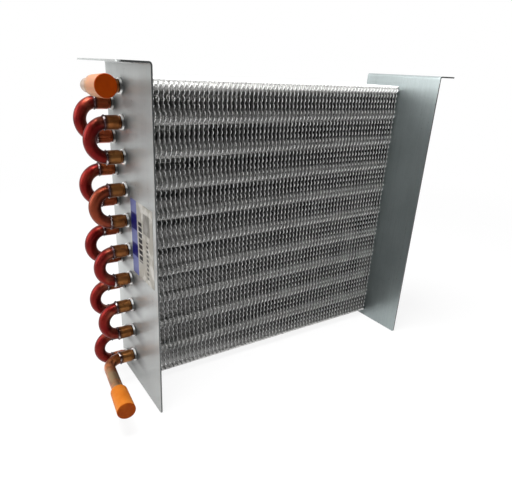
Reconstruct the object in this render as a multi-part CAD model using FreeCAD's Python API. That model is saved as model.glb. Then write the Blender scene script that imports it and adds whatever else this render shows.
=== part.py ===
import FreeCAD, Part
import math
import os

from FreeCAD import Vector

# A two-row finned-tube refrigeration condenser in millimetres, standing on the edges of its end plates.
# +X runs along the tubes to the hidden hairpin bends, +Y is the way the air leaves, +Z is up.

# Tube grid: the common one inch by 0.866 inch staggered pattern for 3/8 inch tube
tube_od = 9.52
tube_wall = 0.4
tube_pitch = 25.4
row_pitch = 22.0
tubes_per_row = 10

# Fins: flat aluminium sheets at six to the inch
fin_pitch = 25.4 / 6
fin_count = 67
fin_thickness = 0.2
fin_bore_clearance = 0.05

# End plates: folded galvanised sheet with a lip drawn up round each tube
plate_thickness = 1.2
plate_ahead_of_fins = 46.5
plate_behind_fins = 1.5
plate_above_fins = 11.0
plate_below_fins = 7.4
plate_corner_radius = 2.0
flange_width = 21.5
flange_bend_radius = 1.2
flange_corner_radius = 3.0
flange_hole_diameter = 5.0
flange_hole_spacing = 47.0
flange_hole_setback = 12.0
collar_height = 2.2
collar_wall = 0.9
collar_flare = 0.9
plate_bore_clearance = 0.05

# Tube ends on the connection side: each stub is belled, and a bend is brazed into the bell
stub_length = 14.4
bell_length = 9.5
bell_taper = 1.5
bell_clearance = 0.06
socket_gap = 0.5
curve_in_bell = 1.2
bend_wall = 0.6
hairpin_overhang = 9.0
braze_length = 1.0
braze_stand_out = 0.5
braze_band = 0.35
braze_edge = 0.1
braze_clearance = 0.03

# Inlet at the top tube of the front row, outlet at its lowest, both turned towards the front
elbow_radius = 14.3
inlet_turn = 90.0
inlet_rise = 2.3
inlet_reach = 53.5
outlet_turn = 84.0
outlet_reach = 72.0

# Orange push-on caps that keep dirt out of the open ends
cap_length = 27.0
cap_end_wall = 2.0
cap_wall = 1.89
cap_taper = 0.6
cap_shoulder_radius = 2.2
cap_edge_radius = 0.8
cap_grip = 0.05

# Sticker on the outer face of the left plate
label_width = 44.5
label_height = 62.0
label_thickness = 0.15
label_gap = 0.9
label_drop = 98.3
label_corner_radius = 1.0

tube_radius = tube_od / 2
collar_bore = tube_radius + plate_bore_clearance
collar_root = collar_bore + collar_wall + collar_flare
core_length = fin_count * fin_pitch
fin_depth = 2 * row_pitch
fin_height = tubes_per_row * tube_pitch
fin_front = -row_pitch / 2
fin_back = fin_front + fin_depth
fin_top = tube_pitch / 4
fin_bottom = fin_top - fin_height
plate_front = fin_front - plate_ahead_of_fins
plate_back = fin_back + plate_behind_fins
plate_top = fin_top + plate_above_fins
plate_bottom = fin_bottom - plate_below_fins
left_face = 0.0
right_face = left_face + 2 * plate_thickness + core_length
mouth_x = left_face - stub_length
bend_start_x = mouth_x + curve_in_bell
socket_depth = bell_length - socket_gap
to_left = Vector(-1, 0, 0)
to_right = Vector(1, 0, 0)


def drift(distance):
    # how far the inner side of the tighter bend has moved in, this far from where its curve starts
    radius = min(elbow_radius, tube_pitch / 2) - tube_radius
    return radius - math.sqrt(radius * radius - distance * distance)


bell_inner_radius = tube_radius + drift(curve_in_bell) + bell_clearance
bell_outer_radius = bell_inner_radius + tube_wall


def tubeCentre(row, number):
    # the working frame has tube 1 of the front row on its X axis; the back row hangs half a pitch lower
    stagger = tube_pitch / 2 if row == "back" else 0.0
    y = row_pitch if row == "back" else 0.0
    return Vector(0, y, -(number - 1) * tube_pitch - stagger)


def allTubeCentres():
    return [tubeCentre(row, n) for row in ("front", "back") for n in range(1, tubes_per_row + 1)]


def rod(start, direction, length, radius):
    return Part.makeCylinder(radius, length, start, direction)


def ringFace(centre, direction, outer_radius, inner_radius):
    outer = Part.Wire(Part.makeCircle(outer_radius, centre, direction))
    inner = Part.Wire(Part.makeCircle(inner_radius, centre, direction))
    return Part.makeFace([outer, inner], "Part::FaceMakerBullseye")


def revolved(points, centre, direction):
    # points are (distance along the axis, radius) pairs of a closed outline, turned about the axis
    wire = Part.makePolygon([Vector(r, 0, a) for a, r in points + points[:1]])
    return placed(Part.Face(wire).revolve(Vector(0, 0, 0), Vector(0, 0, 1), 360), centre, direction)


def placed(shape, centre, direction):
    turn = FreeCAD.Rotation(Vector(0, 0, 1), direction)
    moved = shape.copy()
    moved.Placement = FreeCAD.Placement(centre, turn).multiply(shape.Placement)
    return moved


def joined(pieces):
    return pieces[0].fuse(pieces[1:]).removeSplitter()


def roundedSheet(width, height, thickness, radius, round_top=True):
    # a sheet in the YZ plane from the origin, thickness along +X, with rounded corners
    sheet = Part.makeBox(thickness, width, height)
    corners = []
    for edge in sheet.Edges:
        along_x = abs(edge.tangentAt(edge.FirstParameter).x) > 0.99
        if along_x and (round_top or edge.CenterOfMass.z < height / 2):
            corners.append(edge)
    return sheet.makeFillet(radius, corners)


def collar(centre, outward):
    # lip drawn up from the sheet: a flared root that thins into a short upright wall
    wall = collar_bore + collar_wall
    flare_centre = Vector(collar_root, 0, collar_flare)
    shift = math.sqrt(0.5) * collar_flare
    middle = flare_centre + Vector(-shift, 0, -shift)
    corners = [Vector(collar_bore, 0, 0), Vector(collar_root, 0, 0), Vector(wall, 0, collar_flare)]
    rim = [Vector(wall, 0, collar_height), Vector(collar_bore, 0, collar_height)]
    edges = [
        Part.makeLine(corners[0], corners[1]),
        Part.Arc(corners[1], middle, corners[2]).toShape(),
        Part.makeLine(corners[2], rim[0]),
        Part.makeLine(rim[0], rim[1]),
        Part.makeLine(rim[1], corners[0]),
    ]
    turned = Part.Face(Part.Wire(edges)).revolve(Vector(0, 0, 0), Vector(0, 0, 1), 360)
    return placed(turned, centre, outward)


def flange():
    # the top of the left plate: a bend and a lip that reaches away from the fins
    inner = flange_bend_radius
    outer = inner + plate_thickness
    bend = Vector(left_face - inner, plate_front, plate_top - outer)
    across = Vector(math.sqrt(0.5), 0, math.sqrt(0.5))
    lip_tip = left_face - flange_width
    tip_under = Vector(lip_tip, plate_front, plate_top - plate_thickness)
    tip_over = Vector(lip_tip, plate_front, plate_top)
    outline = [
        Part.makeLine(bend + Vector(outer, 0, 0), bend + Vector(inner, 0, 0)),
        Part.Arc(bend + Vector(inner, 0, 0), bend + across * inner, bend + Vector(0, 0, inner)).toShape(),
        Part.makeLine(bend + Vector(0, 0, inner), tip_under),
        Part.makeLine(tip_under, tip_over),
        Part.makeLine(tip_over, bend + Vector(0, 0, outer)),
        Part.Arc(bend + Vector(0, 0, outer), bend + across * outer, bend + Vector(outer, 0, 0)).toShape(),
    ]
    lip = Part.Face(Part.Wire(outline)).extrude(Vector(0, plate_back - plate_front, 0))
    tip_edges = [
        edge
        for edge in lip.Edges
        if abs(edge.CenterOfMass.x - lip_tip) < 1e-6 and abs(edge.tangentAt(edge.FirstParameter).z) > 0.99
    ]
    lip = lip.makeFillet(flange_corner_radius, tip_edges)
    middle_y = (plate_front + plate_back) / 2
    for side in (-0.5, 0.5):
        hole = Vector(left_face - flange_hole_setback, middle_y + side * flange_hole_spacing, plate_top - outer)
        lip = lip.cut(rod(hole, Vector(0, 0, 1), 2 * outer, flange_hole_diameter / 2))
    return lip


def leftPlate():
    bend_height = flange_bend_radius + plate_thickness
    sheet = roundedSheet(
        plate_back - plate_front,
        plate_top - bend_height - plate_bottom,
        plate_thickness,
        plate_corner_radius,
        round_top=False,
    )
    sheet.translate(Vector(left_face, plate_front, plate_bottom))
    collars = [collar(centre + Vector(left_face, 0, 0), to_left) for centre in allTubeCentres()]
    plate = joined([sheet, flange()] + collars)
    bores = [
        rod(centre + Vector(left_face - collar_height, 0, 0), to_right,
            collar_height + 2 * plate_thickness, collar_bore)
        for centre in allTubeCentres()
    ]
    return plate.cut(Part.makeCompound(bores))


def rightPlate(left_plate):
    # the same pressing turned over, so its flange and lips face away from the fins
    middle = (left_face + right_face) / 2
    return left_plate.mirror(Vector(middle, 0, 0), to_right)


def finPack():
    fin = Part.makeBox(
        fin_thickness, fin_depth, fin_height, Vector(-fin_thickness / 2, fin_front, fin_bottom)
    )
    bores = [
        rod(centre + to_left * fin_thickness, to_right, 2 * fin_thickness, tube_radius + fin_bore_clearance)
        for centre in allTubeCentres()
    ]
    fin = fin.cut(Part.makeCompound(bores))
    first = left_face + plate_thickness + fin_pitch / 2
    return Part.makeCompound([fin.translated(Vector(first + n * fin_pitch, 0, 0)) for n in range(fin_count)])


def stub(centre):
    # the end of one leg: plain tube, a short taper and the bell that takes a bend
    inner = tube_radius - tube_wall
    bell_start = mouth_x + bell_length
    taper_end = bell_start + bell_taper
    outline = [
        (taper_end, inner),
        (bell_start, bell_inner_radius),
        (mouth_x, bell_inner_radius),
        (mouth_x, bell_outer_radius),
        (bell_start, bell_outer_radius),
        (taper_end, tube_radius),
    ]
    return revolved(outline, centre, to_right), taper_end


def hairpin(number):
    front, back = tubeCentre("front", number), tubeCentre("back", number)
    bend_start = right_face + hairpin_overhang
    pieces = []
    for centre in (front, back):
        belled, plain_start = stub(centre)
        plain = ringFace(centre + to_right * plain_start, to_right, tube_radius, tube_radius - tube_wall)
        pieces += [belled, plain.extrude(to_right * (bend_start - plain_start))]
    middle = (front + back) * 0.5 + to_right * bend_start
    ring = ringFace(front + to_right * bend_start, to_right, tube_radius, tube_radius - tube_wall)
    # turning about this axis carries the front leg out along +X and round to the back leg
    axis = to_right.cross(back - front)
    return joined(pieces + [ring.revolve(middle, axis, 180)])


def seatedRing(centre):
    # the section of a bend where its curve starts, and the straight end that goes into the bell
    start = centre + Vector(bend_start_x, 0, 0)
    ring = ringFace(start, to_left, tube_radius, tube_radius - bend_wall)
    return start, ring, ring.extrude(to_right * (socket_depth - curve_in_bell))


def returnBend(upper, lower):
    start, ring, upper_end = seatedRing(upper)
    lower_end = seatedRing(lower)[2]
    middle = start + (lower - upper) * 0.5
    return joined([upper_end, ring.revolve(middle, Vector(0, -1, 0), 180), lower_end])


def elbowLeg(centre, turn):
    # the point that the elbow turns about, where its straight leg starts, and the leg's direction
    pivot = centre + Vector(bend_start_x, -elbow_radius, 0)
    angle = math.radians(turn)
    leg_start = pivot + Vector(-math.sin(angle), math.cos(angle), 0) * elbow_radius
    leg_way = Vector(-math.cos(angle), -math.sin(angle), 0)
    return pivot, leg_start, leg_way


def capSeat(centre, turn, reach):
    # reach is measured from the corner where the two straight runs would meet, to the cap's closed end
    leg_start, leg_way = elbowLeg(centre, turn)[1:]
    corner_to_leg = elbow_radius * math.tan(math.radians(turn) / 2)
    return leg_way, leg_start + leg_way * (reach - corner_to_leg)


def elbow(centre, turn, reach):
    pivot, leg_start, leg_way = elbowLeg(centre, turn)
    cap_end = capSeat(centre, turn, reach)[1]
    ring, socket_end = seatedRing(centre)[1:]
    leg_ring = ringFace(leg_start, leg_way, tube_radius, tube_radius - bend_wall)
    leg = leg_ring.extrude(leg_way * ((cap_end - leg_start).Length - cap_end_wall))
    return joined([socket_end, ring.revolve(pivot, Vector(0, 0, 1), turn), leg])


def cap(centre, turn, reach):
    leg_way, cap_end = capSeat(centre, turn, reach)
    bore = tube_radius + cap_grip
    mouth = bore + cap_wall
    end = mouth + cap_taper
    outline = [
        (0.0, 0.0),
        (0.0, end),
        (cap_length, mouth),
        (cap_length, bore),
        (cap_end_wall, bore),
        (cap_end_wall, 0.0),
    ]
    body = revolved(outline, cap_end, leg_way * -1)
    mouth_centre = cap_end - leg_way * cap_length
    shoulder = nearestRim(body, mouth_centre, mouth)
    body = body.makeFillet(min(cap_shoulder_radius, 0.9 * cap_wall), [shoulder])
    edge = nearestRim(body, cap_end, end)
    return body.makeFillet(cap_edge_radius, [edge])


def raised(shape, centre, rise):
    # turned about the tube's axis, so that what points to the front points up as well
    turned = shape.copy()
    turned.rotate(centre, to_left, rise)
    return turned


def nearestRim(body, centre, radius):
    circles = [edge for edge in body.Edges if isinstance(edge.Curve, Part.Circle)]
    return min(circles, key=lambda edge: (edge.Curve.Center - centre).Length + abs(edge.Curve.Radius - radius))


def brazeRing(centre):
    # filler metal drawn into a fillet between the bell's mouth and the bend
    bore = tube_radius + drift(curve_in_bell + braze_length) + braze_clearance
    outer = bell_outer_radius + braze_stand_out
    outline = [
        (mouth_x, bore),
        (mouth_x, outer),
        (mouth_x - braze_band, outer),
        (mouth_x - braze_length, bore + braze_edge),
        (mouth_x - braze_length, bore),
    ]
    return revolved(outline, centre, to_right)


def brazeRings():
    return Part.makeCompound([brazeRing(centre) for centre in allTubeCentres()])


def label():
    sheet = roundedSheet(label_width, label_height, label_thickness, label_corner_radius)
    front_edge = -collar_root - label_gap - label_width
    lower_edge = plate_top - label_drop - label_height
    sheet.translate(Vector(left_face - label_thickness, front_edge, lower_edge))
    return sheet


def allPieces():
    pieces = {"left_end_plate": leftPlate(), "fin_pack": finPack()}
    pieces["right_end_plate"] = rightPlate(pieces["left_end_plate"])
    for n in range(1, tubes_per_row + 1):
        pieces[f"hairpin_tube_{n:02d}"] = hairpin(n)
    for n in range(1, tubes_per_row // 2 + 1):
        upper, lower = tubeCentre("back", 2 * n - 1), tubeCentre("back", 2 * n)
        pieces[f"return_bend_back_{n}"] = returnBend(upper, lower)
    for n in range(1, tubes_per_row // 2):
        upper, lower = tubeCentre("front", 2 * n), tubeCentre("front", 2 * n + 1)
        pieces[f"return_bend_front_{n}"] = returnBend(upper, lower)
    inlet, outlet = tubeCentre("front", 1), tubeCentre("front", tubes_per_row)
    pieces["inlet_elbow"] = raised(elbow(inlet, inlet_turn, inlet_reach), inlet, inlet_rise)
    pieces["inlet_cap"] = raised(cap(inlet, inlet_turn, inlet_reach), inlet, inlet_rise)
    pieces["outlet_elbow"] = elbow(outlet, outlet_turn, outlet_reach)
    pieces["outlet_cap"] = cap(outlet, outlet_turn, outlet_reach)
    pieces["braze_rings"] = brazeRings()
    pieces["label"] = label()
    return pieces


pieces = allPieces()

# The part's origin is the middle of its outer box, on the surface that it stands on
whole = FreeCAD.BoundBox()
for shape in pieces.values():
    whole.add(shape.optimalBoundingBox(False, False))
to_origin = Vector(-(whole.XMin + whole.XMax) / 2, -(whole.YMin + whole.YMax) / 2, -whole.ZMin)

os.makedirs("parts", exist_ok=True)
for name, shape in pieces.items():
    shape.translated(to_origin).exportStep(f"parts/{name}.step")
    print(name, "solids", len(shape.Solids), "valid", shape.isValid(), "volume", round(shape.Volume, 1))
print("origin moved by", to_origin, "outer box", whole)
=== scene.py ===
import math

import bmesh
import bpy
from mathutils import Matrix, Vector
from mathutils.geometry import delaunay_2d_cdt


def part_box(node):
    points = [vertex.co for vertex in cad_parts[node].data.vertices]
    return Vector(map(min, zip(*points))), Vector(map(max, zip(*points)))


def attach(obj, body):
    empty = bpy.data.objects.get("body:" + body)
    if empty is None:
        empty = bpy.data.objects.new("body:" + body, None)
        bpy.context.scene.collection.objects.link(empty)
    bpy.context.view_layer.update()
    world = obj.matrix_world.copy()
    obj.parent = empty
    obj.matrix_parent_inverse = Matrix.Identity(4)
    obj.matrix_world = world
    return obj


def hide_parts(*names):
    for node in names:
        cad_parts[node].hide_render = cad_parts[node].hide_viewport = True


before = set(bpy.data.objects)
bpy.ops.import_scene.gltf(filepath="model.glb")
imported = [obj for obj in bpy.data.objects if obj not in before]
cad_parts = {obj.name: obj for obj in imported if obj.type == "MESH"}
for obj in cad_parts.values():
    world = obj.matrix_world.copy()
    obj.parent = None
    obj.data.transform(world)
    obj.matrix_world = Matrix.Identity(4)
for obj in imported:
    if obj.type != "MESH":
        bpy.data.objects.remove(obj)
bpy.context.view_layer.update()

# A two-row finned condenser coil. The end plates, tubes, bends, elbows, caps and sticker keep their own
# solids and get their finish here. The rippled fins, their collars and feet, and the braze are made here.

scene = bpy.context.scene
scene.view_settings.view_transform = "Standard"
mm = 0.001


# Shader and geometry node trees

class Signal:
    # a node's output that works in Python sums

    def __init__(self, graph, socket):
        self.graph = graph
        self.socket = socket

    def __add__(self, other):
        return self.graph.maths("ADD", self, other)

    def __radd__(self, other):
        return self.graph.maths("ADD", other, self)

    def __sub__(self, other):
        return self.graph.maths("SUBTRACT", self, other)

    def __rsub__(self, other):
        return self.graph.maths("SUBTRACT", other, self)

    def __mul__(self, other):
        return self.graph.maths("MULTIPLY", self, other)

    def __rmul__(self, other):
        return self.graph.maths("MULTIPLY", other, self)

    def __truediv__(self, other):
        return self.graph.maths("DIVIDE", self, other)

    def __abs__(self):
        return self.graph.maths("ABSOLUTE", self)

    def __gt__(self, other):
        return self.graph.maths("GREATER_THAN", self, other)

    def __lt__(self, other):
        return self.graph.maths("LESS_THAN", self, other)


class Graph:
    # one node tree, filled through node()

    def __init__(self, tree):
        self.tree = tree

    def node(self, kind, settings=None, sockets=None, output=0):
        made = self.tree.nodes.new(kind)
        for name, value in (settings or {}).items():
            setattr(made, name, value)
        for name, value in (sockets or {}).items():
            socket = self.find(made.inputs, name)
            if isinstance(value, Signal):
                self.tree.links.new(value.socket, socket)
            else:
                socket.default_value = value
        return Signal(self, self.find(made.outputs, output) if made.outputs else None)

    def find(self, sockets, name):
        if isinstance(name, int):
            return sockets[name]
        return next((socket for socket in sockets if socket.identifier == name), None) or sockets[name]

    def maths(self, operation, *values):
        return self.node("ShaderNodeMath", {"operation": operation}, dict(enumerate(values)))

    def within(self, value, low, high):
        # 1 between the two limits, 0 outside
        return (value > low) * (value < high)

    def step(self, value, low, high):
        # 0 at low and below, 1 at high and above, smooth between
        settings = {"interpolation_type": "SMOOTHSTEP"}
        sockets = {"Value": value, "From Min": low, "From Max": high}
        return self.node("ShaderNodeMapRange", settings, sockets, "Result")

    def split(self, vector):
        parts = self.node("ShaderNodeSeparateXYZ", None, {"Vector": vector})
        outputs = parts.socket.node.outputs
        return [Signal(self, outputs[axis]) for axis in ("X", "Y", "Z")]

    def join(self, x, y, z):
        return self.node("ShaderNodeCombineXYZ", None, {"X": x, "Y": y, "Z": z})


class Finish(Graph):
    # a material on Object coordinates; a noise is given as its scale, detail and roughness

    def __init__(self, name):
        self.material = bpy.data.materials.new(name)
        self.material.use_nodes = True
        super().__init__(self.material.node_tree)
        self.tree.nodes.clear()
        self.spot = self.node("ShaderNodeTexCoord", output="Object")
        self.x, self.y, self.z = self.split(self.spot)

    def stretched(self, scale):
        return self.node("ShaderNodeMapping", None, {"Vector": self.spot, "Scale": scale})

    def noise(self, scale, detail=3.0, roughness=0.55, vector=None):
        sockets = {"Scale": scale, "Detail": detail, "Roughness": roughness}
        sockets["Vector"] = vector or self.spot
        return self.node("ShaderNodeTexNoise", None, sockets, "Fac")

    def blend(self, mask, first, second, how="MIX"):
        settings = {"data_type": "RGBA", "blend_type": how, "clamp_factor": True}
        sockets = {"Factor_Float": mask, "A_Color": first, "B_Color": second}
        return self.node("ShaderNodeMix", settings, sockets, "Result_Color")

    def facing(self):
        # which way each face of the piece looks
        return self.split(self.node("ShaderNodeNewGeometry", output="Normal"))

    def bump(self, height, strength, distance):
        sockets = {"Height": height, "Strength": strength, "Distance": distance}
        return self.node("ShaderNodeBump", None, sockets, "Normal")

    def surface(self, **sockets):
        named = {name.replace("_", " "): value for name, value in sockets.items()}
        shader = self.node("ShaderNodeBsdfPrincipled", None, named, "BSDF")
        self.node("ShaderNodeOutputMaterial", None, {"Surface": shader})
        return self.material


def plain(value):
    return (value, value, value, 1.0)


def dress(name, material):
    # a CAD node keeps its mesh and gets its finish
    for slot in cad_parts[name].material_slots:
        slot.material = material


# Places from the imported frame, and the sizes of tube, sheet and lips

tubesPerRow = 10
plateLow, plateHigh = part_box("left_end_plate")
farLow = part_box("right_end_plate")[0]
finLow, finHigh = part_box("fin_pack")
brazeLow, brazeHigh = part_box("braze_rings")
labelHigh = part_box("label")[1]
tubePitch = (finHigh.z - finLow.z) / tubesPerRow
rowPitch = (finHigh.y - finLow.y) / 2
tubeRadius = 4.76 * mm
plateSheet = 1.2 * mm
lipRoot = 0.9 * mm          # a lip's bright part starts this far out from the plate's face
lipHeight = 2.2 * mm
leftFace = plateHigh.x - plateSheet
rightFace = farLow.x + plateSheet
frontRow = finLow.y + rowPitch / 2
topTube = finHigh.z - tubePitch / 4


def tubeCentres():
    places = []
    for row in (0, 1):
        for n in range(tubesPerRow):
            places.append((frontRow + row * rowPitch, topTube - (n + row / 2) * tubePitch))
    return places


def tubeOffsets(finish):
    # for each row: the place down the row in tube pitches, then how far up and how far back of the
    # nearest tube's axis a point lies
    fromTop = (topTube - finish.z) / tubePitch
    rows = []
    for row in (0, 1):
        place = fromTop - row / 2
        up = (place - finish.maths("ROUND", place)) * tubePitch
        back = finish.y - (frontRow + row * rowPitch)
        rows.append((place, up, back))
    return rows


# Camera, from the vanishing points and tube centres of the photograph

view = {
    "fromTopTube": (-0.12223, -0.35988, 0.016065),  # from the top front tube at the left plate
    "right": (0.83983, -0.54084, 0.04655),
    "up": (0.17353, 0.34874, 0.92101),
    "lens": 33.351,
    "shiftX": 0.01416,
    "shiftY": 0.0556,
}


def addCamera():
    right, up = Vector(view["right"]).normalized(), Vector(view["up"]).normalized()
    back = right.cross(up)
    lens = bpy.data.cameras.new("view")
    lens.sensor_width = 36.0
    lens.lens = view["lens"]
    lens.shift_x = view["shiftX"]
    lens.shift_y = view["shiftY"]
    lens.clip_start = 0.01
    camera = bpy.data.objects.new("view", lens)
    turn = Matrix((right, up, back)).transposed().to_4x4()
    place = Vector((leftFace, frontRow, topTube)) + Vector(view["fromTopTube"])
    camera.matrix_world = Matrix.Translation(place) @ turn
    scene.collection.objects.link(camera)
    scene.camera = camera


addCamera()
print("camera set")


# Floor, world and lamps

studio = {
    "floorSize": 30.0,
    "skyForSurfaces": 0.42,
    "dimSide": (-0.50, -0.82, 0.28),
    "dimEdge": (0.0, 0.6),
    "dimShare": 0.95,
    "floorPaint": 0.82,
    "floorGlow": 0.88,
    "floorInMetal": 0.5,
    "shadowReach": (0.30, 1.1),
    "top": {"place": (-0.25, -0.05, 1.15), "aim": (0.0, 0.0, 0.15), "size": 0.5, "power": 22.0},
    "left": {"place": (-1.1, 0.35, 0.60), "aim": (-0.1, 0.0, 0.15), "size": 0.8, "power": 11.0},
    "front": {"place": (-1.2, -0.8, 0.6), "aim": (0.0, 0.0, 0.15), "size": 0.6, "power": 2.6},
}


def seenRays(graph, mirrored):
    # 1 for rays that meet the backdrop straight from the camera or through glass, less in a reflection
    paths = graph.node("ShaderNodeLightPath", output="Is Camera Ray")
    outputs = paths.socket.node.outputs
    glossy = Signal(graph, outputs["Is Glossy Ray"])
    passing = Signal(graph, outputs["Is Transmission Ray"])
    return graph.maths("MINIMUM", paths + glossy * mirrored + passing, 1.0)


def addWorld():
    world = bpy.data.worlds.new("studio")
    world.use_nodes = True
    scene.world = world
    graph = Graph(world.node_tree)
    graph.tree.nodes.clear()
    soft = studio["skyForSurfaces"]
    paths = graph.node("ShaderNodeLightPath", output="Is Camera Ray")
    # the backdrop is white and the dark room lies behind the viewer
    way = graph.node("ShaderNodeTexCoord", output="Generated")
    settings, aim = {"operation": "DOT_PRODUCT"}, Vector(studio["dimSide"]).normalized()
    facing = graph.node("ShaderNodeVectorMath", settings, {0: way, 1: aim}, "Value")
    dim = graph.step(facing, *studio["dimEdge"]) * studio["dimShare"] * (1.0 - paths)
    strength = (seenRays(graph, 1.0) * (1.0 - soft) + soft) * (1.0 - dim)
    sky = graph.node("ShaderNodeBackground", None, {"Color": plain(1.0), "Strength": strength})
    graph.node("ShaderNodeOutputWorld", None, {"Surface": sky})


def addFloor():
    half = studio["floorSize"] / 2
    corners = [(-half, -half, 0), (half, -half, 0), (half, half, 0), (-half, half, 0)]
    mesh = bpy.data.meshes.new("floor")
    mesh.from_pydata(corners, [], [(0, 1, 2, 3)])
    floor = bpy.data.objects.new("floor", mesh)
    scene.collection.objects.link(floor)
    paper = Finish("paleFloor")
    footPaintedLight = paper.node("ShaderNodeBsdfDiffuse", None, {"Color": plain(studio["floorPaint"])})
    glow = paper.node("ShaderNodeEmission", None, {"Color": plain(1.0), "Strength": 1.0})
    # the floor keeps the object's shadow near it and is as white as the backdrop further off
    near, far = studio["shadowReach"]
    distance = paper.maths("SQRT", paper.x * paper.x + paper.y * paper.y)
    glowShare = studio["floorGlow"] + paper.step(distance, near, far) * (1.0 - studio["floorGlow"])
    share = seenRays(paper, studio["floorInMetal"]) * glowShare
    mix = paper.node("ShaderNodeMixShader", None, {0: share, 1: footPaintedLight, 2: glow})
    paper.node("ShaderNodeOutputMaterial", None, {"Surface": mix})
    mesh.materials.append(paper.material)


def addLamp(name):
    facts = studio[name]
    lamp = bpy.data.lights.new(name + "Lamp", "AREA")
    lamp.shape = "SQUARE"
    lamp.size = facts["size"]
    lamp.energy = facts["power"]
    holder = bpy.data.objects.new(name + "Lamp", lamp)
    place, aim = Vector(facts["place"]), Vector(facts["aim"])
    turn = (aim - place).to_track_quat("-Z", "Y").to_matrix().to_4x4()
    holder.matrix_world = Matrix.Translation(place) @ turn
    scene.collection.objects.link(holder)


addWorld()
addFloor()
for lampName in ("top", "left", "front"):
    addLamp(lampName)
print("studio set")


# Galvanised steel of the end plates

galvanised = {
    "colour": (0.475, 0.498, 0.491, 1.0),
    "dull": (0.37, 0.389, 0.385, 1.0),
    "coolShare": (0.93, 1.0, 1.015, 1.0),
    # the next two colours are painted shade on the bare cut edges, the darker one high up
    "cutEdgeShade": (0.070, 0.074, 0.074, 1.0),
    "cutEdgeShadeLow": (0.115, 0.12, 0.118, 1.0),
    # the next two colours are a painted highlight on the lips above and below each tube and a painted
    # shade beside it
    "lip": (0.93, 0.94, 0.93, 1.0),
    "lipPaintedShade": (0.10, 0.10, 0.098, 1.0),
    # the next colour and its reaches are a painted shade and reflection beside each joint
    "shadeBesideJoint": (0.016, 0.0175, 0.0168, 1.0),
    "shadeBesideJointReach": (2.0 * mm, 32.0 * mm),
    "shadeBesideJointHeight": (2.6 * mm, 9.2 * mm),
    # where the lips' painted highlight starts above the tube and how far it reaches
    "lipGlintEdge": (1.4 * mm, 3.6 * mm),
    "lipGlintReach": 9.0 * mm,
    "greyShare": 0.77,
    "greyBlend": 12.0 * mm,
    "footReach": (5.0 * mm, 100.0 * mm),
    # the heights over which the cut edges' painted shade deepens
    "edgeShadeReach": (120.0 * mm, 240.0 * mm),
    "cutSliver": 0.06 * mm,
    "faceDepth": 0.2 * mm,
    "lipsBelow": 10.0 * mm,         # over the top tube's axis, clear of the flange
    "metal": 0.92,
    "dulled": 0.30,
    "roughness": 0.34,
    "streaks": (900.0, 900.0, 14.0),
    "clouds": (16.0, 4.0, 0.6),
    "crystals": 260.0,
}


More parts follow.
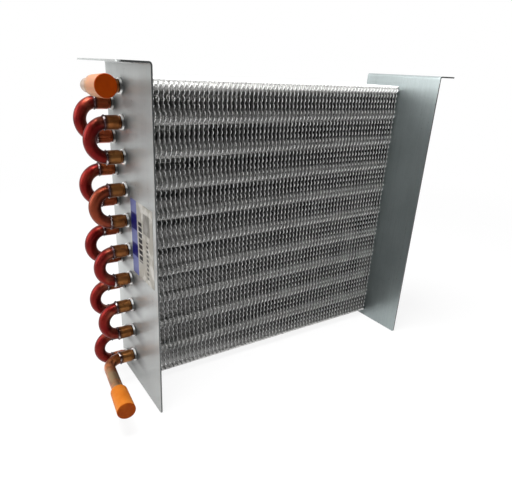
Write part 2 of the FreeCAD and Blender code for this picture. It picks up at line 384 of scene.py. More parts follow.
def galvanisedSteel():
    steel = Finish("galvanisedSteel")
    streak = steel.noise(1.0, 2.0, 0.6, steel.stretched(galvanised["streaks"]))
    cloud = steel.noise(*galvanised["clouds"])
    grains = {"Scale": galvanised["crystals"]}
    crystal = steel.split(steel.node("ShaderNodeTexVoronoi", {"feature": "F1"}, grains, "Color"))[0]
    tone = steel.step(cloud * 0.6 + streak * 0.3 + crystal * 0.1, 0.32, 0.68)
    face = steel.blend(tone, galvanised["dull"], galvanised["colour"])
    # the right plate comes from a cooler batch of sheet
    face = steel.blend(steel.x > 0.0, face, galvanised["coolShare"], "MULTIPLY")
    # below the flange the left plate has greyed
    reach = galvanised["greyBlend"]
    greyed = (steel.x < 0.0) * (1.0 - steel.step(steel.z, topTube - reach, topTube + reach))
    face = steel.blend(greyed, face, plain(galvanised["greyShare"]), "MULTIPLY")
    # towards the foot both sheets are duller
    foot = 1.0 - steel.step(steel.z, *galvanised["footReach"])
    face = steel.blend(foot, face, plain(galvanised["greyShare"]), "MULTIPLY")
    # painted shade and reflection: the left plate is darkened beside every joint, on the side towards the
    # front
    outside = steel.x < leftFace + galvanised["faceDepth"]
    shadeBesideJoint, lipGlints = None, None
    for place, up, back in tubeOffsets(steel):
        up, ahead = abs(up), -1.0 * back
        beside = (ahead > 0.0) * (1.0 - steel.step(ahead, *galvanised["shadeBesideJointReach"]))
        mark = beside * (1.0 - steel.step(up, *galvanised["shadeBesideJointHeight"]))
        mark = mark * steel.within(place, -0.4, tubesPerRow - 0.6)
        near = (abs(ahead) < galvanised["lipGlintReach"]) * (up < galvanised["lipGlintReach"])
        lipGlint = near * steel.step(up, *galvanised["lipGlintEdge"])
        shadeBesideJoint = mark if shadeBesideJoint is None else shadeBesideJoint + mark
        lipGlints = lipGlint if lipGlints is None else lipGlints + lipGlint
    shadeBesideJoint = steel.maths("MINIMUM", shadeBesideJoint, 1.0) * outside * (0.82 + cloud * 0.4)
    face = steel.blend(shadeBesideJoint, face, galvanised["shadeBesideJoint"])
    # the drawn lips carry a painted highlight above and below the tube and a painted shade beside it
    lip = (steel.x < leftFace - lipRoot) + (steel.x > rightFace + lipRoot)
    lip = steel.maths("MINIMUM", lip, 1.0) * (steel.z < topTube + galvanised["lipsBelow"])
    lipPaintedLight = steel.blend(lipGlints, galvanised["lipPaintedShade"], galvanised["lip"])
    colour = steel.blend(lip, face, lipPaintedLight)
    # the sheet's cut edges at the front, back and foot are bare steel with painted shade, deeper further
    # up
    sliver = galvanised["cutSliver"]
    edge = (steel.y < plateLow.y + sliver) + (steel.y > plateHigh.y - sliver) + (steel.z < sliver)
    edge = steel.maths("MINIMUM", edge, 1.0)
    height = steel.step(steel.z, *galvanised["edgeShadeReach"])
    edgeShade = steel.blend(height, galvanised["cutEdgeShadeLow"], galvanised["cutEdgeShade"])
    colour = steel.blend(edge, colour, edgeShade)
    rough = galvanised["roughness"] + (streak - 0.5) * 0.16 + (crystal - 0.5) * 0.08
    rough = rough + edge * 0.15 - lip * 0.05
    grain = steel.bump(streak * 0.7 + crystal * 0.3, 0.12, 0.05 * mm)
    # handling has dulled the left plate's mirror
    dulled = (steel.x < 0.0) * galvanised["dulled"] + shadeBesideJoint * 0.6 + lip * 0.75
    metal = galvanised["metal"] - steel.maths("MINIMUM", dulled, 0.9)
    return steel.surface(Base_Color=colour, Metallic=metal, Roughness=rough, Normal=grain)


steelFinish = galvanisedSteel()
dress("left_end_plate", steelFinish)
dress("right_end_plate", steelFinish)
print("plates finished")


# Copper of the hairpins and elbows, and of the return bends

copper = {
    "bright": (0.48, 0.155, 0.046, 1.0),
    "rosy": (0.37, 0.075, 0.028, 1.0),
    "olive": (0.31, 0.137, 0.042, 1.0),
    "tarnish": (0.17, 0.040, 0.009, 1.0),
    # pale solder colour that also serves as a painted reflection on the upper elbow
    "tinnedAndSheen": (0.50, 0.40, 0.33, 1.0),
    "scorch": (0.045, 0.018, 0.014, 1.0),
    "maroon": (0.112, 0.0022, 0.0027, 1.0),
    "russet": (0.165, 0.010, 0.005, 1.0),
    "worn": (0.30, 0.10, 0.055, 1.0),
    "scoured": (0.165, 0.032, 0.012, 1.0),
    "khaki": (0.22, 0.150, 0.080, 1.0),
    # painted shade for the corner where the tube meets the plate's lip
    "cornerShade": (0.016, 0.008, 0.005, 1.0),
    "wornReach": (3.0 * mm, 13.0 * mm),
    "heatedLength": 3.0 * mm,
    "legReach": (24.0 * mm, 9.0 * mm),
    "capReach": (8.0 * mm, 3.0 * mm),
    "solderReach": (8.0 * mm, 9.0 * mm),
    "cornerShadeLine": 1.0 * mm,
    "tubeMetal": 0.92,
    "tubeRoughness": 0.30,
    "bendMetal": 0.97,
    "bendRoughness": 0.40,
    "tubePatches": (95.0, 5.0, 0.62),
    "legPatches": (60.0, 4.0),
    "drawLines": (120.0, 1500.0, 1500.0),
    "bendPatches": (55.0, 5.0, 0.6),
    "wornPatches": (75.0, 3.0),
    "scouredPatches": (42.0, 3.0),
    "heatPatches": (500.0, 3.0),
    "specks": (900.0, 2.0, 0.5),
    "skin": (240.0, 4.0),
}


def heatMask(finish):
    # how near a joint the metal is, from the distance to the mouths of the bells
    reach = abs(finish.x - brazeHigh.x) / copper["heatedLength"]
    return 1.0 - finish.step(reach + finish.noise(*copper["heatPatches"]) * 0.9 - 0.45, 0.15, 1.0)


def tubeCopper():
    tube = Finish("tubeCopper")
    patch = tube.step(tube.noise(*copper["tubePatches"]), 0.36, 0.66)
    metal = tube.blend(patch, copper["tarnish"], copper["bright"])
    # the back row's ends are rosier than the front row's, and some were heated longer than others
    which = tube.maths("ROUND", (topTube - tube.z) / (tubePitch / 2))
    pick = tube.node("ShaderNodeTexWhiteNoise", {"noise_dimensions": "1D"}, {"W": which + 0.3}, "Value")
    stub = tube.x > brazeLow.x
    backRow = tube.y > frontRow + rowPitch / 2
    metal = tube.blend(stub * backRow * (0.35 + pick * 0.5), metal, copper["rosy"])
    metal = tube.blend(stub * (1.0 - backRow) * (0.35 + pick * 0.5), metal, copper["olive"])
    # the elbow's leg stands ahead of the fins' tubes and is drawn tube that has gone dull
    far, near = copper["legReach"]
    leg = 1.0 - tube.step(tube.y, frontRow - far, frontRow - near)
    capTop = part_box("outlet_cap")[1].z
    far, near = copper["capReach"]
    clearOfCap = tube.step(tube.z, capTop - far, capTop - near)
    dull = leg * clearOfCap * tube.step(tube.noise(*copper["legPatches"]), 0.30, 0.55)
    metal = tube.blend(dull, metal, copper["khaki"])
    # solder has run over the outside of the upper elbow, and its pale colour also serves as a painted
    # reflection
    out, below = copper["solderReach"]
    upper = (tube.z > topTube - below) * (1.0 - tube.step(tube.x, brazeLow.x - out, brazeLow.x))
    metal = tube.blend(upper * 0.8, metal, copper["tinnedAndSheen"])
    colour = tube.blend(heatMask(tube) * 0.85, metal, copper["scorch"])
    # painted shade in the corner between the tube and the lip of the plate
    line = copper["cornerShadeLine"]
    fromLine = abs(tube.x - (leftFace - lipHeight - 0.35 * line))
    cornerShade = 1.0 - tube.step(fromLine, 0.3 * line, 0.75 * line)
    colour = tube.blend(cornerShade * 0.92, colour, copper["cornerShade"])
    lines = tube.noise(1.0, 2.0, 0.5, tube.stretched(copper["drawLines"]))
    rough = copper["tubeRoughness"] + patch * -0.08 + lines * 0.12 + leg * 0.1
    skin = tube.bump(lines * 0.5 + patch * 0.5, 0.15, 0.06 * mm)
    return tube.surface(Base_Color=colour, Metallic=copper["tubeMetal"], Roughness=rough, Normal=skin)


def bendCopper():
    bend = Finish("bendCopper")
    patch = bend.step(bend.noise(*copper["bendPatches"]), 0.34, 0.68)
    metal = bend.blend(patch, copper["maroon"], copper["russet"])
    # the skin is worn back to brown near the joints
    near = 1.0 - bend.step(brazeHigh.x - bend.x, *copper["wornReach"])
    worn = near * bend.step(bend.noise(*copper["wornPatches"]), 0.42, 0.62) * 0.7
    metal = bend.blend(worn, metal, copper["worn"])
    # one front bend has been scoured back to brown all over
    low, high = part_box("return_bend_front_2")
    margin = 1.0 * mm
    onBend = bend.within(bend.z, low.z - margin, high.z + margin) * (bend.y < high.y + margin)
    scoured = onBend * bend.step(bend.noise(*copper["scouredPatches"]), 0.25, 0.5) * 0.9
    metal = bend.blend(scoured, metal, copper["scoured"])
    speck = bend.step(bend.noise(*copper["specks"]), 0.60, 0.72)
    metal = bend.blend(speck * 0.35, metal, copper["scorch"])
    colour = bend.blend(heatMask(bend) * 0.75, metal, copper["scorch"])
    rough = copper["bendRoughness"] + patch * 0.10 + speck * 0.15
    skin = bend.bump(bend.noise(*copper["skin"]) + speck * 0.3, 0.14, 0.08 * mm)
    return bend.surface(
        Base_Color=colour,
        Metallic=copper["bendMetal"],
        Roughness=rough,
        Normal=skin,
        Coat_Weight=0.1,
        Coat_Roughness=0.35,
    )


tubeFinish = tubeCopper()
bendFinish = bendCopper()
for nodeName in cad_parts:
    if nodeName.startswith(("hairpin_tube", "inlet_elbow", "outlet_elbow")):
        dress(nodeName, tubeFinish)
    if nodeName.startswith("return_bend"):
        dress(nodeName, bendFinish)
print("copper finished")


# Vinyl caps

vinyl = {
    "orange": (0.40, 0.122, 0.014, 1.0),
    "deep": (0.33, 0.088, 0.007, 1.0),
    "faded": (0.315, 0.178, 0.118, 1.0),
    "root": (0.26, 0.19, 0.14, 1.0),
    # the next three colours and their clouds are painted shade on the caps' front-facing ends
    "end": (0.235, 0.030, 0.0, 1.0),
    "endBelow": (0.27, 0.050, 0.0, 1.0),
    "endDark": (0.19, 0.022, 0.0, 1.0),
    "clearReach": (9.0 * mm, 3.0 * mm),
    "roughness": 0.42,
    "clouds": (70.0, 4.0, 0.55),
    "endClouds": (110.0, 2.0),
    "pores": (1500.0, 2.0, 0.6),
}


def capVinyl():
    cap = Finish("capVinyl")
    cloud = cap.noise(*vinyl["clouds"])
    colour = cap.blend(cap.step(cloud, 0.3, 0.7), vinyl["deep"], vinyl["orange"])
    # the upper cap has faded in the light and grown clear at its open end
    upper = cap.z > topTube - tubePitch
    colour = cap.blend(upper * 0.75, colour, vinyl["faded"])
    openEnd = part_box("inlet_cap")[1].y
    far, near = vinyl["clearReach"]
    root = upper * cap.step(cap.y, openEnd - far, openEnd - near)
    colour = cap.blend(root * 0.7, colour, vinyl["root"])
    # painted shade: the end faces that look to the front are darker and deeper orange, with darker clouds
    outward = -1.0 * cap.facing()[1]
    end = cap.blend(upper, vinyl["endBelow"], vinyl["end"])
    darker = cap.step(cap.noise(*vinyl["endClouds"]), 0.42, 0.66) * 0.5
    end = cap.blend(darker, end, vinyl["endDark"])
    colour = cap.blend(cap.step(outward, 0.25, 0.6), colour, end)
    pores = cap.noise(*vinyl["pores"])
    skin = cap.bump(pores + cloud * 0.6, 0.10, 0.08 * mm)
    return cap.surface(
        Base_Color=colour,
        Roughness=vinyl["roughness"] + cloud * 0.12,
        Normal=skin,
        Specular_IOR_Level=0.05,
        Subsurface_Weight=0.12,
        Subsurface_Radius=(1.0, 0.35, 0.1),
        Subsurface_Scale=1.2 * mm,
    )


vinylFinish = capVinyl()
dress("inlet_cap", vinylFinish)
dress("outlet_cap", vinylFinish)
print("caps finished")


# Sticker with plain fields and strokes in place of print

sticker = {
    "paper": (0.215, 0.205, 0.18, 1.0),
    "faint": (0.36, 0.35, 0.325, 1.0),
    "band": (0.085, 0.095, 0.22, 1.0),
    "block": (0.001, 0.002, 0.070, 1.0),
    "ink": (0.008, 0.008, 0.010, 1.0),
    "roughness": 0.40,
    "smears": (120.0, 3.0),
    "creases": (45.0, 3.0),
    "bandWidth": 12.5 * mm,
    # across runs from the edge beside the tubes, down from the top
    "blocks": ((10.5 * mm, 24.0 * mm), (35.5 * mm, 46.5 * mm)),
    "greyField": {"across": (25.5 * mm, 38.5 * mm), "down": (6.0 * mm, 22.0 * mm), "share": 0.5},
    "bold": {
        "across": (15.2 * mm, 22.4 * mm), "down": (15.0 * mm, 48.0 * mm), "share": 1.0,
        "period": 4.7 * mm, "gap": 0.24,
    },
    "fine": {
        "across": (30.5 * mm, 34.5 * mm), "down": (27.0 * mm, 58.0 * mm), "share": 0.8,
        "period": 3.7 * mm, "gap": 0.45,
    },
}


def stickerPaper():
    paper = Finish("stickerPaper")
    across = labelHigh.y - paper.y
    down = labelHigh.z - paper.z

    def printed(facts):
        # how inky one field is; a period breaks it into short strokes, none of them letters
        field = paper.within(across, *facts["across"]) * paper.within(down, *facts["down"])
        if "period" in facts:
            field = field * (paper.maths("FRACT", paper.z * (1 / facts["period"])) > facts["gap"])
        return field * facts["share"]

    band = across < sticker["bandWidth"]
    first, second = sticker["blocks"]
    blocks = paper.within(down, *first) + paper.within(down, *second)
    smear = paper.noise(*sticker["smears"])
    sheet = paper.blend(paper.step(smear, 0.45, 0.7), sticker["paper"], sticker["faint"])
    colour = paper.blend(band, sheet, sticker["band"])
    colour = paper.blend(band * blocks, colour, sticker["block"])
    ink = printed(sticker["greyField"]) + printed(sticker["bold"]) + printed(sticker["fine"])
    colour = paper.blend(paper.maths("MINIMUM", ink, 1.0), colour, sticker["ink"])
    crease = paper.bump(paper.noise(*sticker["creases"]), 0.25, 0.3 * mm)
    rough = sticker["roughness"] + smear * 0.15
    return paper.surface(Base_Color=colour, Roughness=rough, Normal=crease, Specular_IOR_Level=0.12)


dress("label", stickerPaper())
print("sticker finished")


# Mesh makers

def addPiece(name, mesh, material, slot, *replaced):
    piece = bpy.data.objects.new(name, mesh)
    scene.collection.objects.link(piece)
    mesh.materials.clear()
    mesh.materials.append(material)
    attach(piece, "root")
    if replaced:
        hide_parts(*replaced)


def turnedRing(outline, segments):
    # a closed ring about X from (x, radius) points given in order round its section
    points, faces = [], []
    count = len(outline)
    for k in range(segments):
        angle = 2 * math.pi * k / segments
        for x, radius in outline:
            points.append((x, radius * math.cos(angle), radius * math.sin(angle)))
    for k in range(segments):
        here, there = k * count, (k + 1) % segments * count
        for i in range(count):
            j = (i + 1) % count
            faces.append((here + i, here + j, there + j, there + i))
    mesh = bpy.data.meshes.new("ring")
    mesh.from_pydata(points, [], faces)
    return outwards(mesh)


def outwards(mesh):
    # turns every face outwards
    work = bmesh.new()
    work.from_mesh(mesh)
    bmesh.ops.recalc_face_normals(work, faces=work.faces)
    work.to_mesh(mesh)
    work.free()
    return mesh


def growTree(name, inputs):
    # a geometry tree with named inputs, its graph and the signals of those inputs
    tree = bpy.data.node_groups.new(name, "GeometryNodeTree")
    tree.interface.new_socket("Geometry", in_out="INPUT", socket_type="NodeSocketGeometry")
    for label, kind in inputs.items():
        tree.interface.new_socket(label, in_out="INPUT", socket_type="NodeSocket" + kind)
    tree.interface.new_socket("Geometry", in_out="OUTPUT", socket_type="NodeSocketGeometry")
    graph = Graph(tree)
    group = graph.node("NodeGroupInput")
    outputs = group.socket.node.outputs
    given = {label: Signal(graph, outputs[label]) for label in ["Geometry"] + list(inputs)}
    return graph, given


def endTree(graph, geometry, material):
    solid = graph.node("GeometryNodeRealizeInstances", None, {"Geometry": geometry})
    dressed = graph.node("GeometryNodeSetMaterial", None, {"Geometry": solid, "Material": material})
    graph.node("NodeGroupOutput", None, {"Geometry": dressed})
    return graph.tree


def grown(name, base, tree, values):
    # runs a tree on a mesh and returns the result as a plain mesh
    host = bpy.data.objects.new(name + "Seed", base)
    scene.collection.objects.link(host)
    modifier = host.modifiers.new("grow", "NODES")
    modifier.node_group = tree
    for item in tree.interface.items_tree:
        if item.in_out == "INPUT" and item.name in values:
            modifier[item.identifier] = values[item.name]
    evaluated = host.evaluated_get(bpy.context.evaluated_depsgraph_get())
    mesh = bpy.data.meshes.new_from_object(evaluated)
    mesh.name = name
    host.modifiers.remove(modifier)
    bpy.data.objects.remove(host)
    return mesh


def spread(name, shape, places, tree, values):
    # runs a tree on points at the places, with the shape as its seed
    seed = bpy.data.objects.new(name + "Shape", shape)
    scene.collection.objects.link(seed)
    spots = bpy.data.meshes.new(name + "Spots")
    spots.from_pydata([(0.0, y, z) for y, z in places], [], [])
    mesh = grown(name, spots, tree, values | {"Seed": seed})
    bpy.data.objects.remove(seed)
    print(name, "faces", len(mesh.polygons))
    return mesh


# Rippled fins and their aluminium

fins = {
    "count": 67,
    "thickness": 0.2 * mm,
    "ripplesPerPitch": 5,
    "steps": 4,                                         # in each ripple
    "inwardRows": ((0.30, 1), (0.64, 2), (1.03, 4)),    # share of the tab depth, steps between points
    "holeSides": 16,
    "boreGap": 0.25 * mm,
    "pieces": {"fins_left": 23, "fins_middle": 22, "fins_right": 22},
    # the form of the front and back edges. Ripple place, Foot fade and the tab's start, rise, stand
    # and fall are in tube pitches, and Tab rest is a share of Tab lean
    "form": {
        "Scallop": 0.75 * mm,
        "Ripple lean": 0.22 * mm,
        "Ripple place": 0.12,
        "Tab lean": 1.65 * mm,
        "Tab rest": 0.2,
        "Tab draw": 0.60 * mm,
        "Tab start": 0.52,
        "Tab rise": 0.27,
        "Tab stand": 0.30,
        "Tab fall": 0.52,
        "Tab depth": 5.6 * mm,
        "Foot fade": 0.09,
        "Waver": 0.10 * mm,
    },
}
finPitch = (finHigh.x - finLow.x - fins["thickness"]) / (fins["count"] - 1)
firstFin = finLow.x + fins["thickness"] / 2

finLook = {
    "colour": (0.38, 0.375, 0.37, 1.0),
    "shade": (0.25, 0.245, 0.24, 1.0),
    # a bright colour for the die rings' polish with painted highlight, and for the tabs' painted
    # highlight
    "polishAndSheen": (0.84, 0.84, 0.83, 1.0),
    # the colour of the painted highlight on the fins' outer strip, with its reach and fade
    "edge": (0.94, 0.94, 0.94, 1.0),
    # painted light: the pale colour of the feet and the fins' lowest strip
    "footPaintedLight": (0.72, 0.71, 0.70, 1.0),
    "litEdgeReach": 1.2 * mm,
    "litEdgeFade": 3.0 * mm,
    "metal": 0.88,
    "roughness": 0.27,
    "dieRing": (6.0 * mm, 8.0 * mm),
    "ringShare": 0.35,
    # place, reach and share of the painted highlight band on the tabs
    "litBandPlace": 0.84,               # in tube pitches below each tube of the front row
    "litBandReach": (0.03, 0.30),
    "litBandShare": 0.75,
    "footReach": (0.5 * mm, 1.4 * mm),
    "clouds": (34.0, 4.0, 0.6),
    "rollLines": (40.0, 1400.0, 30.0),
}


def finAluminium():
    alu = Finish("finAluminium")
    cloud = alu.noise(*finLook["clouds"])
    rolled = alu.noise(1.0, 2.0, 0.5, alu.stretched(finLook["rollLines"]))
    tone = alu.step(cloud * 0.7 + rolled * 0.3, 0.3, 0.7)
    colour = alu.blend(tone, finLook["shade"], finLook["colour"])
    # the press leaves a flat ring round every tube, painted brighter as part polish and part painted
    # highlight
    ring = None
    for _, up, back in tubeOffsets(alu):
        distance = alu.maths("SQRT", up * up + back * back)
        mask = 1.0 - alu.step(distance, *finLook["dieRing"])
        ring = mask if ring is None else ring + mask
    colour = alu.blend(ring * finLook["ringShare"], colour, finLook["polishAndSheen"])
    # painted highlight: a bright band across the bent tabs below every front tube
    fromTop = (topTube - alu.z) / tubePitch
    off = abs(alu.maths("FRACT", fromTop - finLook["litBandPlace"] + 2.5) - 0.5)
    litBand = 1.0 - alu.step(off, *finLook["litBandReach"])
    colour = alu.blend(litBand * finLook["litBandShare"], colour, finLook["polishAndSheen"])
    # painted highlight: the outermost strip of the front, back and top edges is bright, less so at the
    # foot
    inward = alu.maths("MINIMUM", alu.y - finLow.y, finHigh.y - alu.y)
    inward = alu.maths("MINIMUM", inward, (finHigh.z - alu.z) * 0.8)
    aboveFoot = alu.step(alu.z, finLow.z, finLow.z + finLook["litEdgeFade"])
    litEdge = (1.0 - alu.step(inward, 0.0, finLook["litEdgeReach"])) * aboveFoot
    colour = alu.blend(litEdge, colour, finLook["edge"])
    # the folded feet and the fins' lowest strip are matt, and painted pale as light from the floor below
    near, far = finLook["footReach"]
    low = 1.0 - alu.step(alu.z, finLow.z + near, finLow.z + far)
    colour = alu.blend(low, colour, finLook["footPaintedLight"])
    rough = finLook["roughness"] + (rolled - 0.5) * 0.14 + litEdge * 0.12
    grain = alu.bump(rolled, 0.08, 0.03 * mm)
    metal = finLook["metal"] - alu.maths("MINIMUM", litEdge * 0.45 + low * 0.8, 0.85)
    return alu.surface(Base_Color=colour, Metallic=metal, Roughness=rough, Normal=grain)


finFinish = finAluminium()


def finOutline():
    # points of one flat fin in the YZ plane, and the edges round its rim and its holes
    rows = tubesPerRow * fins["ripplesPerPitch"] * fins["steps"]
    height = (finHigh.z - finLow.z) / rows
    rim = [(finLow.y, finLow.z + i * height) for i in range(rows + 1)]
    rim += [(finLow.y + rowPitch, finHigh.z)]
    rim += [(finHigh.y, finHigh.z - i * height) for i in range(rows + 1)]
    rim += [(finLow.y + rowPitch, finLow.z)]
    points = list(rim)
    edges = [(i, (i + 1) % len(rim)) for i in range(len(rim))]
    radius = tubeRadius + fins["boreGap"]
    sides = fins["holeSides"]
    for y, z in tubeCentres():
        start = len(points)
        turns = [2 * math.pi * (k + 0.5) / sides for k in range(sides)]
        points += [(y + radius * math.cos(turn), z + radius * math.sin(turn)) for turn in turns]
        edges += [(start + k, start + (k + 1) % sides) for k in range(sides)]
    for edgeY, inward in ((finLow.y, 1), (finHigh.y, -1)):
        for share, stride in fins["inwardRows"]:
            y = edgeY + inward * fins["form"]["Tab depth"] * share
            points += [(y, finLow.z + i * height) for i in range(stride, rows, stride)]
    return points, edges


def finSheet():
    # a closed thin sheet: two like faces and the walls along every open edge
    points, edges = finOutline()
    filled = delaunay_2d_cdt([Vector(point) for point in points], edges, [], 1, 1e-9)
    flat, triangles = filled[0], filled[2]
    holes = tubeCentres()

    def inHole(triangle):
        middle = sum((flat[i] for i in triangle), Vector((0.0, 0.0))) / 3
        return any((middle.x - y) ** 2 + (middle.y - z) ** 2 < tubeRadius ** 2 for y, z in holes)

    kept = [triangle for triangle in triangles if not inHole(triangle)]
    count = len(flat)
    half = fins["thickness"] / 2
    body = [(half, p.x, p.y) for p in flat] + [(-half, p.x, p.y) for p in flat]
    faces = [tuple(t) for t in kept] + [tuple(i + count for i in reversed(t)) for t in kept]
    sides = [(triangle[i], triangle[(i + 1) % 3]) for triangle in kept for i in range(3)]
    known = set(sides)
    faces += [(b, a, a + count, b + count) for a, b in sides if (b, a) not in known]
    mesh = bpy.data.meshes.new("fin")
    mesh.from_pydata(body, [], faces)
    return outwards(mesh)


def finLine(graph, given):
    # one point for each fin
    start = graph.join(given["First fin"], 0.0, 0.0)
    stride = graph.join(given["Fin pitch"], 0.0, 0.0)
    sockets = {"Count": given["Fins"], "Start Location": start, "Offset": stride}
    return graph.node("GeometryNodeMeshLine", {"mode": "OFFSET"}, sockets)


def finTree():
    sizes = ["First fin", "Fin pitch", "Front edge", "Back edge", "Foot", "Top tube", "Tube pitch"]
    sizes += ["Ripples"] + list(fins["form"])
    inputs = {"Fins": "Int", "Metal": "Material"} | {size: "Float" for size in sizes}
    graph, given = growTree("finRow", inputs)
    x, y, z = graph.split(graph.node("GeometryNodeInputPosition"))
    inward = graph.maths("MINIMUM", y - given["Front edge"], given["Back edge"] - y)
    near = graph.maths("MAXIMUM", 1.0 - inward / given["Tab depth"], 0.0)
    outward = (y * 2.0 > given["Front edge"] + given["Back edge"]) * 2.0 - 1.0
    # down the edge, in tube pitches from the top tube: even scallops, and above each front tube a tab
    # that leans to the right and draws the edge in; both fade at the foot
    down = (given["Top tube"] - z) / given["Tube pitch"]
    wave = graph.maths("COSINE", (down - given["Ripple place"]) * given["Ripples"] * (2 * math.pi))
    along = graph.maths("FRACT", down - given["Tab start"] + 2.0)
    fallen = graph.step(along, given["Tab stand"], given["Tab fall"])
    tab = graph.step(along, 0.0, given["Tab rise"]) * (1.0 - fallen)
    foot = graph.step(z, given["Foot"], given["Foot"] + given["Foot fade"] * given["Tube pitch"])
    lean = ((tab - given["Tab rest"]) * given["Tab lean"] + wave * given["Ripple lean"]) * foot
    reach = (wave * given["Scallop"] - tab * given["Tab draw"]) * outward * foot
    shift = graph.join(lean * near, reach * near, 0.0)
    sheet = {"Geometry": given["Geometry"], "Offset": shift}
    rippled = graph.node("GeometryNodeSetPosition", None, sheet)
    places = {"Points": finLine(graph, given), "Instance": rippled}
    row = graph.node("GeometryNodeInstanceOnPoints", None, places)
    solid = graph.node("GeometryNodeRealizeInstances", None, {"Geometry": row})
    # handling pushes the soft edges a little to one side, the same on both faces of a sheet
    column = graph.maths("ROUND", (x - given["First fin"]) / given["Fin pitch"])
    place = graph.join(column * 0.7, 0.0, z * 16.0)
    drift = graph.node("ShaderNodeTexNoise", None, {"Vector": place, "Scale": 1.0, "Detail": 2.0}, "Fac")
    push = graph.join((drift - 0.5) * 2.0 * given["Waver"] * near, 0.0, 0.0)
    wavered = graph.node("GeometryNodeSetPosition", None, {"Geometry": solid, "Offset": push})
    return endTree(graph, wavered, given["Metal"])


def addFins():
    sheet = finSheet()
    tree = finTree()
    first = firstFin
    for name, count in fins["pieces"].items():
        values = {
            "Fins": count, "First fin": first, "Fin pitch": finPitch, "Front edge": finLow.y,
            "Back edge": finHigh.y, "Foot": finLow.z, "Top tube": topTube, "Tube pitch": tubePitch,
            "Ripples": float(fins["ripplesPerPitch"]), "Metal": finFinish,
        }
        mesh = grown(name, sheet, tree, values | fins["form"])
        addPiece(name, mesh, finFinish, "fin_aluminium", "fin_pack")
        print(name, "fins", count, "faces", len(mesh.polygons))
        first += count * finPitch


addFins()


# Drawn collars that space the fins

collars = {"wall": 0.22 * mm, "gap": 0.05 * mm, "flare": 0.75 * mm, "sides": 12, "lastReach": 0.42}


def rowTree():
    # the seed at every place, once for each fin; the last ones end at the right plate
    inputs = {
        "Seed": "Object", "Fins": "Int", "First fin": "Float", "Fin pitch": "Float",
        "Last reach": "Float", "Metal": "Material",
    }
    graph, given = growTree("finRows", inputs)
    seed = graph.node("GeometryNodeObjectInfo", None, {"Object": given["Seed"]}, "Geometry")
    places = {"Points": given["Geometry"], "Instance": seed}
    column = graph.node("GeometryNodeInstanceOnPoints", None, places)
    last = graph.node("GeometryNodeInputIndex") > given["Fins"] - 1.5
    size = graph.join(1.0 - last * (1.0 - given["Last reach"]), 1.0, 1.0)
    columns = {"Points": finLine(graph, given), "Instance": column, "Scale": size}
    rows = graph.node("GeometryNodeInstanceOnPoints", None, columns)
    return endTree(graph, rows, given["Metal"])


def addAlongFins(name, shape, places):
    values = {
        "Fins": fins["count"], "First fin": firstFin, "Fin pitch": finPitch,
        "Last reach": collars["lastReach"], "Metal": finFinish,
    }
    mesh = spread(name, shape, places, rowTree(), values)
    addPiece(name, mesh, finFinish, "fin_aluminium")


def addCollars():
    inner = tubeRadius + collars["gap"]
    wall, flare = inner + collars["wall"], inner + collars["wall"] + collars["flare"]
    half, reach = fins["thickness"] / 2, finPitch - fins["thickness"] / 2
    throat = half + 0.5 * collars["flare"]
    outline = [(half, inner), (half, flare), (throat, wall), (reach, wall), (reach, inner)]
    addAlongFins("fin_collars", turnedRing(outline, collars["sides"]), tubeCentres())


addCollars()


# Folded feet at the fins' lower corners, which close the pack's lower edge

feet = {
    "riser": 0.9 * mm,
    "bend": 0.30 * mm,
    "sheet": 0.16 * mm,
    "gap": 0.08 * mm,
    "depth": 7.0 * mm,
}


def foldedStrips():
    # the two feet of one fin, at its front and back corners: one section in XZ, drawn along Y
    low, sheet, bend = finLow.z, feet["sheet"], feet["bend"]
    near, far = fins["thickness"] / 2, finPitch - fins["thickness"] / 2 - feet["gap"]
    section = [
        (near, low + feet["riser"]),
        (near, low + bend),
        (near + 0.3 * bend, low + 0.3 * bend),
        (near + bend, low),
        (far, low),
        (far, low + sheet),
        (near + bend, low + sheet),
        (near + sheet, low + bend + 0.5 * sheet),
        (near + 0.5 * sheet, low + feet["riser"]),
    ]
    count = len(section)
    points, faces = [], []
    for front in (finLow.y, finHigh.y - feet["depth"]):
        first = len(points)
        for y in (front, front + feet["depth"]):
            points += [(x, y, z) for x, z in section]
        faces.append(tuple(range(first, first + count)))
        faces.append(tuple(range(first + 2 * count - 1, first + count - 1, -1)))
        for i in range(count):
            here, there = first + i, first + (i + 1) % count
            faces.append((here, there, there + count, here + count))
    mesh = bpy.data.meshes.new("foot")
    mesh.from_pydata(points, [], faces)
    return outwards(mesh)


addAlongFins("fin_feet", foldedStrips(), [(0.0, 0.0)])


# Braze fillets at the mouths of the bells

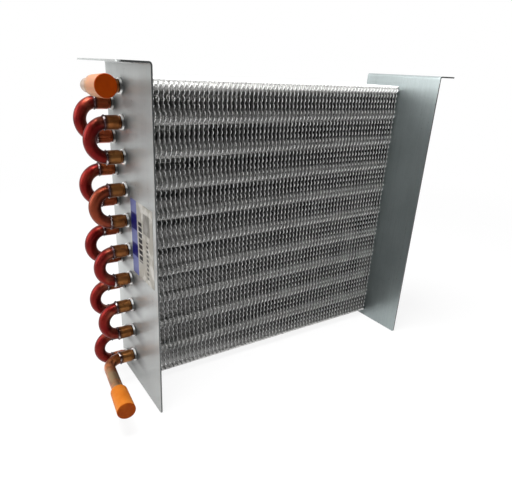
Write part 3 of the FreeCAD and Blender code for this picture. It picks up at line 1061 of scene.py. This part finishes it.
braze = {
    "silver": (0.46, 0.42, 0.42, 1.0),
    "burnt": (0.055, 0.030, 0.034, 1.0),
    "metal": 0.9,
    "roughness": 0.24,
    "patches": (230.0, 4.0, 0.6),
    "skin": (900.0, 3.0),
    "lump": 0.32 * mm,
    "lumpScale": 260.0,
    "sides": 40,
    # place before the mouth as a share of the ring's length, and height over the tube
    "section": (
        (-0.25, -0.15 * mm), (-0.25, 0.45 * mm), (-0.20, 0.85 * mm), (0.15, 1.05 * mm),
        (0.45, 0.85 * mm), (0.75, 0.50 * mm), (1.05, 0.28 * mm), (1.15, -0.15 * mm),
    ),
}


def brazeMetal():
    alloy = Finish("brazeMetal")
    patch = alloy.step(alloy.noise(*braze["patches"]), 0.54, 0.62)
    colour = alloy.blend(patch, braze["burnt"], braze["silver"])
    skin = alloy.bump(alloy.noise(*braze["skin"]), 0.3, 0.12 * mm)
    rough = braze["roughness"] + patch * 0.12
    return alloy.surface(Base_Color=colour, Metallic=braze["metal"], Roughness=rough, Normal=skin)


def brazeTree():
    inputs = {"Seed": "Object", "Lump": "Float", "Lump scale": "Float", "Metal": "Material"}
    graph, given = growTree("brazeRing", inputs)
    ring = graph.node("GeometryNodeObjectInfo", None, {"Object": given["Seed"]}, "Geometry")
    places = {"Points": given["Geometry"], "Instance": ring}
    rings = graph.node("GeometryNodeInstanceOnPoints", None, places)
    solid = graph.node("GeometryNodeRealizeInstances", None, {"Geometry": rings})
    spot = graph.node("GeometryNodeInputPosition")
    field = {"Vector": spot, "Scale": given["Lump scale"], "Detail": 1.0}
    noise = graph.node("ShaderNodeTexNoise", None, field, "Fac")
    normal = graph.node("GeometryNodeInputNormal")
    height = (noise - 0.45) * 2.0 * given["Lump"]
    push = graph.node("ShaderNodeVectorMath", {"operation": "SCALE"}, {"Vector": normal, "Scale": height})
    lumpy = graph.node("GeometryNodeSetPosition", None, {"Geometry": solid, "Offset": push})
    smooth = graph.node("GeometryNodeSetShadeSmooth", None, {0: lumpy})
    return endTree(graph, smooth, given["Metal"])


def addBraze():
    length = brazeHigh.x - brazeLow.x
    outline = [(brazeHigh.x - share * length, tubeRadius + height) for share, height in braze["section"]]
    metal = brazeMetal()
    values = {"Lump": braze["lump"], "Lump scale": braze["lumpScale"], "Metal": metal}
    ring = turnedRing(outline, braze["sides"])
    mesh = spread("braze_fillets", ring, tubeCentres(), brazeTree(), values)
    addPiece("braze_fillets", mesh, metal, "braze_alloy", "braze_rings")


addBraze()
